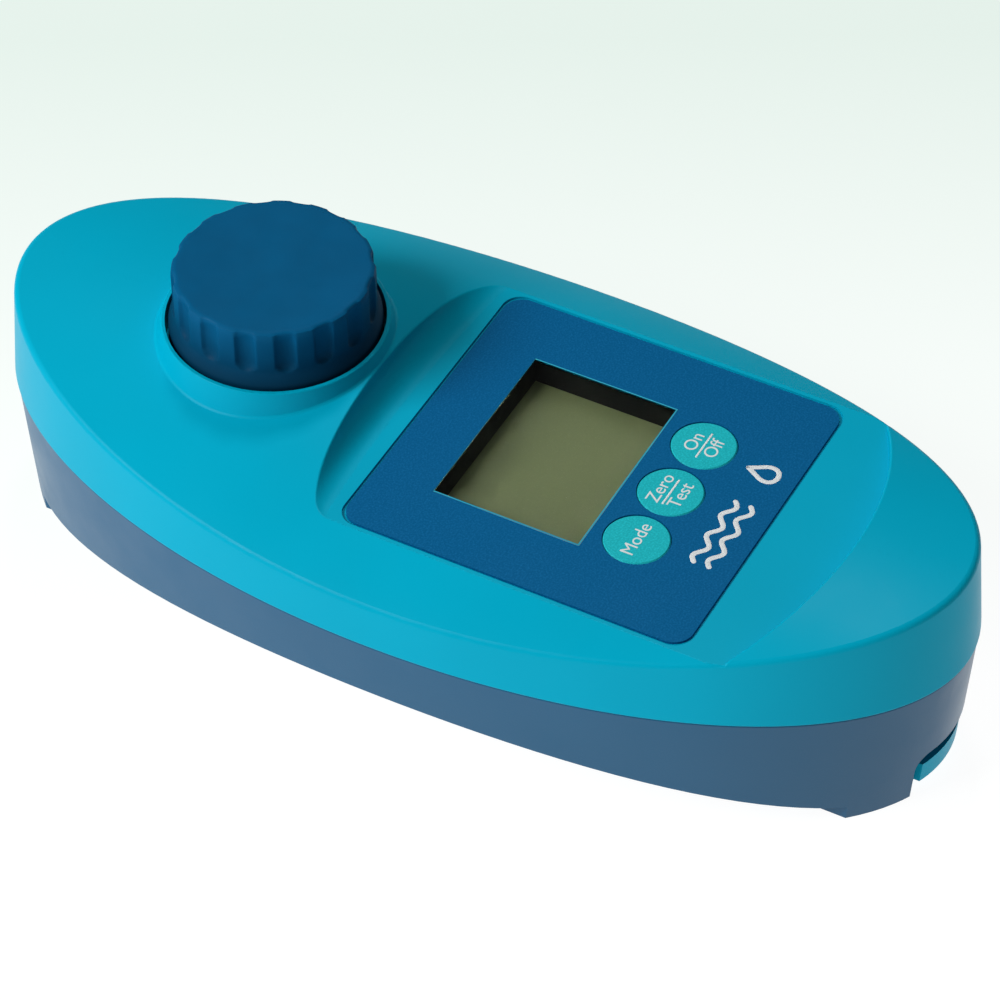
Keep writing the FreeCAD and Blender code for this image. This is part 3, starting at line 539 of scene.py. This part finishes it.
class Shaping:
    """Edit mode on one object, with a few ways to choose what the next operator acts on."""

    def __init__(self, thing):
        self.thing = thing

    def __enter__(self):
        deselect()
        self.thing.select_set(True)
        bpy.context.view_layer.objects.active = self.thing
        bpy.ops.object.mode_set(mode="EDIT")
        return self

    def __exit__(self, *_):
        bpy.ops.object.mode_set(mode="OBJECT")

    def choose(self, test, kind="FACE"):
        """Selects the faces or corners whose middle and normal pass a test."""
        bpy.ops.mesh.select_mode(type=kind)
        bpy.ops.mesh.select_all(action="DESELECT")
        mesh = bmesh.from_edit_mesh(self.thing.data)
        for item in mesh.faces if kind == "FACE" else mesh.verts:
            middle = item.calc_center_median() if kind == "FACE" else item.co
            item.select_set(bool(test(middle, item.normal)))
        mesh.select_flush_mode()
        bmesh.update_edit_mesh(self.thing.data)


def settle(thing):
    """Applies modifiers, then place, turn and size, so that the object sits at the origin."""
    deselect()
    thing.select_set(True)
    bpy.context.view_layer.objects.active = thing
    for modifier in list(thing.modifiers):
        bpy.ops.object.modifier_apply(modifier=modifier.name)
    bpy.ops.object.transform_apply(location=True, rotation=True, scale=True)


def smooth(thing, angle=35):
    """Shades smooth across edges that turn less than an angle in degrees."""
    deselect()
    thing.select_set(True)
    bpy.context.view_layer.objects.active = thing
    bpy.ops.object.shade_smooth_by_angle(angle=math.radians(angle))


def clean(thing):
    """Merges doubled corners and points every face outwards."""
    with Shaping(thing):
        bpy.ops.mesh.select_all(action="SELECT")
        bpy.ops.mesh.remove_doubles(threshold=0.002 * MM)
        bpy.ops.mesh.normals_make_consistent(inside=False)
    return thing


def join(name, things):
    """Makes one object of several."""
    deselect()
    for thing in things:
        thing.select_set(True)
    bpy.context.view_layer.objects.active = things[0]
    if len(things) > 1:
        bpy.ops.object.join()
    joined = bpy.context.object
    joined.name = name
    return joined


def add_modifier(thing, kind, **settings):
    """Adds one modifier with its settings."""
    made = thing.modifiers.new(kind.title(), kind)
    for name, value in settings.items():
        setattr(made, name, value)


def away_from(axis, point):
    """Distance of a point from an upright axis."""
    return math.hypot(point.x - axis.x, point.y - axis.y)


# ---------------------------------------------------------------- cap

def ring_ratio(thing, axis, level, margin, ratio):
    """Scales the ring of corners within a margin of a level about an upright axis."""
    with Shaping(thing) as shape:
        shape.choose(lambda at, _: level - margin < at.z < level + margin, "VERT")
        bpy.ops.transform.resize(value=(ratio, ratio, 1), center_override=(axis.x, axis.y, level))


def gather(axis, level, ratio, sink_mm):
    """Draws a fresh ring of faces in towards an upright axis from the chosen face."""
    bpy.ops.mesh.extrude_region_move(TRANSFORM_OT_translate={"value": (0, 0, sink_mm * MM)})
    bpy.ops.transform.resize(value=(ratio, ratio, 1), center_override=(axis.x, axis.y, level))


class TESTER_OT_cap(bpy.types.Operator):
    """Fluted knob of the sample well's cap: a drum with scooped finger flutes and a flared foot"""
    bl_idname = "tester.cap"
    bl_label = "Cap"

    def execute(self, context):
        settings = sizes()
        flutes = settings.cap_flutes
        axis = CAP_AXIS
        top, foot = CAP_HIGH.z, CAP_LOW.z
        foot_radius = (CAP_HIGH.x - CAP_LOW.x) / 2
        wall_radius, top_radius, hollow_radius = 14.9 * MM, 14.3 * MM, 13.2 * MM
        roof = 1.8 * MM
        # each flute and the land beside it take this many columns of corners
        steps = 20
        columns = flutes * steps

        deselect()
        bpy.ops.mesh.primitive_cylinder_add(vertices=columns, radius=wall_radius, depth=top - foot,
                                            end_fill_type="NGON",
                                            location=(axis.x, axis.y, (top + foot) / 2))
        cap = context.object
        cap.name = "cap_knob_fluted"
        bpy.ops.object.transform_apply(location=True, rotation=True, scale=True)

        # levels of the outside, as drop below the top and radius, in millimetres: the top's edge, the
        # fluted wall and the flared foot
        levels = [(0.25, 14.7), (0.75, 14.86)]
        levels += [(drop, 14.9) for drop in (1.3, 1.9, 3.6, 5.6, 6.0, 6.4, 6.7, 6.95, 7.15)]
        levels += [(7.3, 14.92), (7.6, 14.98), (8.3, 15.2), (8.9, 15.5), (9.5, 15.72), (10.3, 15.75)]
        with Shaping(cap):
            for drop, _ in levels:
                bpy.ops.mesh.select_all(action="SELECT")
                bpy.ops.mesh.bisect(plane_co=(0, 0, top - drop * MM), plane_no=(0, 0, 1))
        for drop, at_radius in levels:
            level = top - drop * MM
            ring_ratio(cap, axis, level, 0.02 * MM, at_radius * MM / wall_radius)
        ring_ratio(cap, axis, foot, 0.1 * MM, foot_radius / wall_radius)
        ring_ratio(cap, axis, top, 0.1 * MM, top_radius / wall_radius)

        # flutes: round-bottomed scoops with a round lower end, shallower where they meet the top's edge
        pitch = math.tau * wall_radius / flutes
        half_width = 0.27 * pitch
        straight_to = 5.7 * MM
        # the knob rests turned by this many columns
        turned_by = 3
        with Shaping(cap) as shape:
            for step in range(steps):
                across = ((step + 0.5) / steps - 0.5) * pitch
                for drop in [0.0] + [drop for drop, _ in levels]:
                    level = top - drop * MM
                    below = max(0.0, drop * MM - straight_to)
                    reach = math.hypot(across, below) / half_width
                    if reach >= 1:
                        continue
                    share = min(1.0, 0.25 + 0.5 * drop) * math.sqrt(1 - reach * reach)

                    def in_column(at, _, level=level, step=step):
                        turn = math.degrees(math.atan2(at.y - axis.y, at.x - axis.x)) * columns / 360
                        return (abs(at.z - level) < 0.03 * MM
                                and (round(turn) - turned_by) % steps == step
                                and away_from(axis, at) > hollow_radius)

                    shape.choose(in_column, "VERT")
                    ratio = 1 - settings.flute_depth * share / wall_radius
                    bpy.ops.transform.resize(value=(ratio, ratio, 1),
                                             center_override=(axis.x, axis.y, level))

        # the top face is gathered in by rings, a little proud near its edge and dished by 0.1 mm inside
        with Shaping(cap) as shape:
            shape.choose(lambda at, normal: normal.z > 0.9 and at.z > top - 0.05 * MM)
            for ratio, sink in ((0.975, 0.02), (0.95, 0), (0.7, -0.05), (0.3, -0.05)):
                gather(axis, top, ratio, sink)
            # the underside is hollow, down to a roof under the top
            shape.choose(lambda at, normal: normal.z < -0.9 and at.z < foot + 0.05 * MM)
            gather(axis, foot, hollow_radius / foot_radius, 0)
            bpy.ops.mesh.extrude_region_move(
                TRANSFORM_OT_translate={"value": (0, 0, top - foot - roof)})
        add_modifier(cap, "BEVEL", width=0.12 * MM, segments=2, limit_method="ANGLE",
                     angle_limit=math.radians(50))
        settle(cap)
        smooth(cap, 40)
        cap.data.materials.append(moulded_polypropylene("Grained polypropylene, navy", colours().cap))
        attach(cap, "cap_knob")
        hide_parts("chamber_cap")
        return {"FINISHED"}


# ---------------------------------------------------------------- foil and keys

def key_middle(node):
    """Middle of a key's upper face."""
    low, high = node_box(node)
    return Vector(((low.x + high.x) / 2, (low.y + high.y) / 2, high.z))


def printed_stroke(name, points, width, level):
    """One printed stroke with round ends, along a smooth line led by points given in millimetres."""
    curve = bpy.data.curves.new(name, "CURVE")
    curve.dimensions = "3D"
    curve.resolution_u = 10
    line = curve.splines.new("NURBS" if len(points) > 2 else "POLY")
    line.points.add(len(points) - 1)
    for spot, (x, y) in zip(line.points, points):
        spot.co = (x * MM, y * MM, 0, 1)
    line.use_endpoint_u = True
    line.order_u = 3
    curve.bevel_depth = width * MM / 2
    curve.bevel_resolution = 3
    curve.use_fill_caps = True
    thing = bpy.data.objects.new(name, curve)
    bpy.context.scene.collection.objects.link(thing)
    deselect()
    thing.select_set(True)
    bpy.context.view_layer.objects.active = thing
    bpy.ops.object.convert(target="MESH")
    thing = bpy.context.object
    ends = []
    for x, y in (points[0], points[-1]):
        bpy.ops.mesh.primitive_uv_sphere_add(segments=14, ring_count=8, radius=width * MM / 2,
                                             location=(x * MM, y * MM, 0))
        ends.append(bpy.context.object)
        bpy.ops.object.transform_apply(location=True, rotation=True, scale=True)
    flat = join(name, [thing] + ends)
    with Shaping(flat):
        bpy.ops.mesh.select_all(action="SELECT")
        bpy.ops.transform.resize(value=(1, 1, 2 * sizes().ink_height / (width * MM)),
                                 center_override=(0, 0, 0))
        bpy.ops.transform.translate(value=(0, 0, level))
    return flat


def printed_word(name, text, height, middle, level):
    """Plain lettering in ink, centred on a spot given in millimetres."""
    curve = bpy.data.curves.new(name, "FONT")
    curve.body = text
    curve.align_x, curve.align_y = "CENTER", "CENTER"
    curve.size = height * MM
    curve.extrude = sizes().ink_height / 2
    curve.resolution_u = 6
    word = bpy.data.objects.new(name, curve)
    bpy.context.scene.collection.objects.link(word)
    deselect()
    word.select_set(True)
    bpy.context.view_layer.objects.active = word
    bpy.ops.object.convert(target="MESH")
    word = bpy.context.object
    word.location = (middle[0] * MM, middle[1] * MM, level)
    bpy.ops.object.transform_apply(location=True, rotation=True, scale=True)
    return clean(word)


def flat_ring(name, edges, margin, far_margin, low, high):
    """A low wall round a rectangle of x and y limits, thinner on the side towards the well."""
    x0, x1, y0, y1 = edges
    deselect()
    bpy.ops.mesh.primitive_plane_add(size=1, location=((x0 + x1) / 2, (y0 + y1) / 2, low))
    ring = bpy.context.object
    ring.name = name
    ring.scale = (x1 - x0, y1 - y0, 1)
    bpy.ops.object.transform_apply(location=True, rotation=True, scale=True)
    with Shaping(ring) as shape:
        bpy.ops.mesh.select_all(action="SELECT")
        bpy.ops.mesh.inset(thickness=margin, depth=0.0)
        bpy.ops.mesh.delete(type="FACE")
        shape.choose(lambda at, _: y1 - 1.5 * margin < at.y < y1 - 0.5 * margin, "VERT")
        bpy.ops.transform.translate(value=(0, margin - far_margin, 0))
        bpy.ops.mesh.select_all(action="SELECT")
        bpy.ops.mesh.extrude_region_move(TRANSFORM_OT_translate={"value": (0, 0, high - low)})
    return clean(ring)


class TESTER_OT_window_trim(bpy.types.Operator):
    """Bright edge left by the foil's print round the window, and the black liner under it"""
    bl_idname = "tester.window_trim"
    bl_label = "Window trim"

    def execute(self, context):
        low, high = WINDOW_LOW, WINDOW_HIGH
        edge_width, edge_width_at_well, ink = 0.22 * MM, 0.03 * MM, 0.015 * MM
        edge = flat_ring("window_print_edge", (low.x, high.x, low.y, high.y), edge_width, edge_width_at_well,
                         high.z, high.z + ink)
        edge.data.materials.append(screen_ink("Turquoise showing past the print", "#00A6C6"))
        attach(edge, "housing")

        # the hole in the cover stops 0.25 mm short of the opening, but for the side towards the well
        reach, wall = 0.2 * MM, 0.05 * MM
        liner = flat_ring("window_liner",
                          (low.x + reach, high.x - reach, low.y + reach, high.y + 0.04 * MM),
                          wall, wall, low.z - 0.5 * MM, low.z - 0.02 * MM)
        liner.data.materials.append(dark_polycarbonate("Black liner lacquer", "#050607"))
        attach(liner, "housing")
        return {"FINISHED"}


class TESTER_OT_foil_marks(bpy.types.Operator):
    """Printed sign on the front foil: a row of waves and a drop"""
    bl_idname = "tester.foil_marks"
    bl_label = "Foil marks"

    def execute(self, context):
        # all in millimetres: two rows of three waves, then a drop whose second half mirrors its first
        pen, left, wave_length, wave_height, waves, points_each = 0.75, -10.9, 4.48, 0.72, 3, 8
        strokes = []
        for row, row_y in enumerate((-39.3, -41.7)):
            wave = [(left + wave_length * i / points_each,
                     row_y + wave_height * math.sin(i * math.tau / points_each))
                    for i in range(waves * points_each + 1)]
            strokes.append(printed_stroke(f"wave_{row}", wave, pen, FOIL_TOP))
        drop_x = 9.6
        near_half = [(0, -37.9), (-0.7, -39.2), (-1.6, -40.6), (-1.4, -42.1), (0, -42.7)]
        far_half = [(-x, y) for x, y in reversed(near_half[:-1])]
        drop = [(drop_x + x, y) for x, y in near_half + far_half]
        strokes.append(printed_stroke("drop", drop, pen, FOIL_TOP))
        sign = join("foil_sign", strokes)
        sign.data.materials.append(screen_ink("Screen ink, pale grey", colours().mark))
        smooth(sign)
        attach(sign, "housing")
        return {"FINISHED"}


class TESTER_OT_key_marks(bpy.types.Operator):
    """Printed words and bars on the three keys"""
    bl_idname = "tester.key_marks"
    bl_label = "Key marks"

    def execute(self, context):
        # in millimetres; two words stand over and under a bar
        letter_height, line_lift, bar_half, bar_pen = 2.9, 1.6, 2.6, 0.32
        signs = {
            "mode_key": (("Mode", 0.0),),
            "zero_test_key": (("Zero", line_lift), ("Test", -line_lift)),
            "power_key": (("On", line_lift), ("Off", -line_lift)),
        }
        ink = screen_ink("Screen ink on the keys, pale grey", colours().mark)
        for node, words in signs.items():
            middle = key_middle(node)
            x, y = middle.x / MM, middle.y / MM
            ink_level = middle.z + sizes().ink_height / 2
            things = [printed_word(f"{node}_{i}", text, letter_height, (x, y + lift), ink_level)
                      for i, (text, lift) in enumerate(words)]
            if len(words) > 1:
                bar = [(x - bar_half, y), (x + bar_half, y)]
                things.append(printed_stroke(f"{node}_bar", bar, bar_pen, middle.z))
            sign = join(f"{node}_sign", things)
            sign.data.materials.append(ink)
            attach(sign, node)
        return {"FINISHED"}


# ---------------------------------------------------------------- battery bay

class TESTER_OT_cell_springs(bpy.types.Operator):
    """The two wire coils that press on the cells' flat ends"""
    bl_idname = "tester.cell_springs"
    bl_label = "Cell springs"

    def execute(self, context):
        low, high = node_box("cell_springs")
        coil, wire, length, turns = 3.3 * MM, 0.22 * MM, 1.4 * MM, 3
        steps_each = 24
        taper_each_step = 0.9965
        from_side = 3.6 * MM
        level = (low.z + high.z) / 2
        seats = ((low.x + from_side, low.y, 1), (high.x - from_side, high.y, -1))
        coils = []
        for x, y, way in seats:
            deselect()
            bpy.ops.mesh.primitive_circle_add(vertices=10, radius=wire, fill_type="NOTHING",
                                              location=(x + coil, y + way * wire, level))
            made = context.object
            bpy.ops.object.transform_apply(location=True, rotation=True, scale=True)
            # the wire's round is drawn along the coil step by step, then its two ends are closed
            with Shaping(made):
                bpy.ops.mesh.select_all(action="SELECT")
                for _ in range(steps_each * turns):
                    bpy.ops.mesh.extrude_edges_move(TRANSFORM_OT_translate={
                        "value": (0, way * (length - 2 * wire) / (steps_each * turns), 0)})
                    bpy.ops.transform.rotate(value=math.tau / steps_each, orient_axis="Y",
                                             center_override=(x, y, level))
                    bpy.ops.transform.resize(value=(taper_each_step, 1, taper_each_step),
                                             center_override=(x, y, level))
            with Shaping(made):
                bpy.ops.mesh.select_mode(type="EDGE")
                bpy.ops.mesh.select_non_manifold()
                bpy.ops.mesh.edge_face_add()
            coils.append(clean(made))
        springs = join("cell_coils", coils)
        springs.data.materials.append(plated_steel("Nickel plated spring wire", NICKEL_HEX, 0.15, 0.3))
        smooth(springs, 50)
        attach(springs, "housing")
        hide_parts("cell_springs")
        return {"FINISHED"}


# ---------------------------------------------------------------- panel, registration and making

PIECE_OPERATORS = (
    "tester.frame_finishes",
    "tester.cap",
    "tester.window_trim",
    "tester.foil_marks",
    "tester.key_marks",
    "tester.cell_springs",
    "tester.stage",
)


class TESTER_PT_panel(bpy.types.Panel):
    """Lists the tester's pieces in the order they are made"""
    bl_idname = "TESTER_PT_panel"
    bl_label = "Water tester"
    bl_space_type = "VIEW_3D"
    bl_region_type = "UI"
    bl_category = "Water tester"

    def draw(self, context):
        for group in (context.scene.tester_colours, context.scene.tester_sizes, context.scene.tester_stage):
            for name in group.bl_rna.properties.keys():
                if name not in {"rna_type", "name"}:
                    self.layout.prop(group, name)
        for name in PIECE_OPERATORS:
            self.layout.operator(name)


CLASSES = (
    TesterColours, TesterSizes, TesterStage,
    TESTER_OT_frame_finishes, TESTER_OT_cap, TESTER_OT_window_trim, TESTER_OT_foil_marks, TESTER_OT_key_marks,
    TESTER_OT_cell_springs, TESTER_OT_stage,
    TESTER_PT_panel,
)


def register():
    for kind in CLASSES:
        bpy.utils.register_class(kind)
    bpy.types.Scene.tester_colours = bpy.props.PointerProperty(type=TesterColours)
    bpy.types.Scene.tester_sizes = bpy.props.PointerProperty(type=TesterSizes)
    bpy.types.Scene.tester_stage = bpy.props.PointerProperty(type=TesterStage)


def unregister():
    del bpy.types.Scene.tester_stage
    del bpy.types.Scene.tester_sizes
    del bpy.types.Scene.tester_colours
    for kind in reversed(CLASSES):
        bpy.utils.unregister_class(kind)


def main():
    register()
    for name in PIECE_OPERATORS:
        group, operator = name.split(".")
        if getattr(getattr(bpy.ops, group), operator)() != {"FINISHED"}:
            raise RuntimeError(name + " did not finish")


if __name__ == "__main__":
    main()
